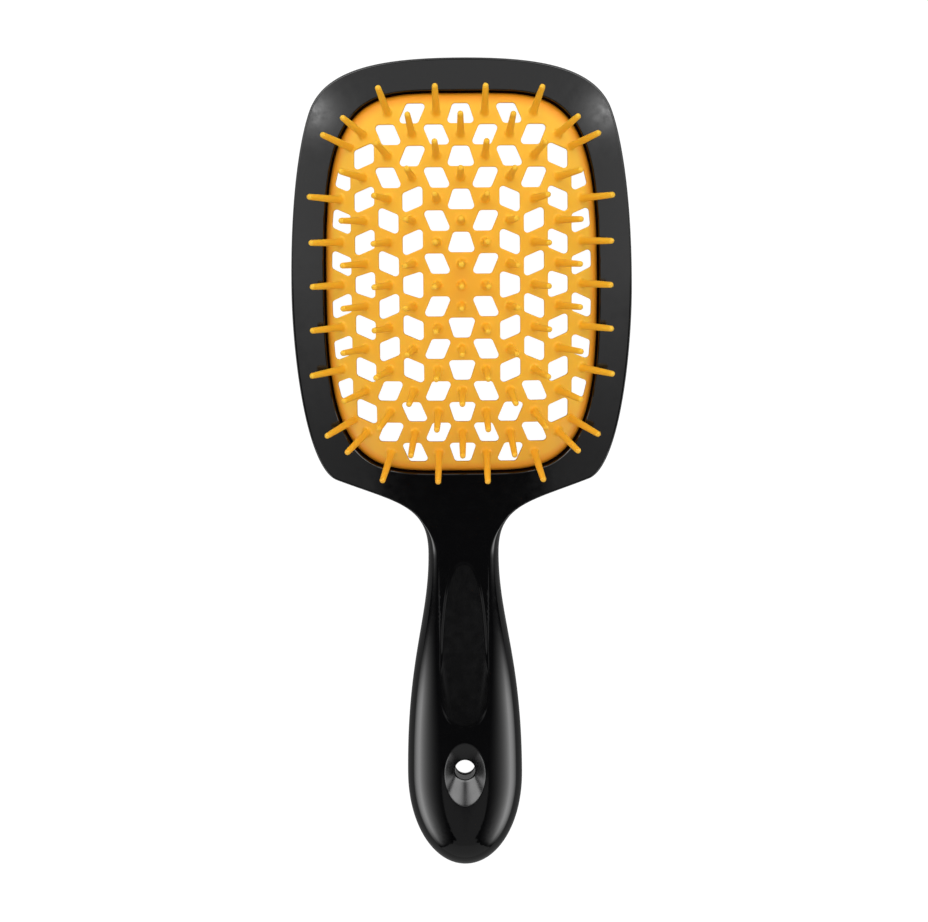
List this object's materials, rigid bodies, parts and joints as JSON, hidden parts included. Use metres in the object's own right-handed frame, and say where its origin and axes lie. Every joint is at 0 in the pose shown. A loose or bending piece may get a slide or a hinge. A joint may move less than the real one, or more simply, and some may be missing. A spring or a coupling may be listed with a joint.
{
  "type": "vented detangling brush",
  "caption": "Vented detangling brush with a two-shell gloss handle and frame, a crowned lattice pad with moulded pins, and a hang hole.",
  "frame": {"origin": "under the middle of the brush, on the surface that its back lies on", "axes": "+X across the brush, +Y from the end of the handle to the top of the head, +Z the way the pins point"},
  "size_m": [0.0892, 0.215, 0.0317],
  "materials": {
    "black_abs": "polished moulded ABS",
    "orange_elastomer": "satin moulded soft plastic"
  },
  "bodies": {
    "root": {"front_shell": "black_abs", "back_shell": "black_abs", "pin_pad": "orange_elastomer"}
  },
  "joints": []
}
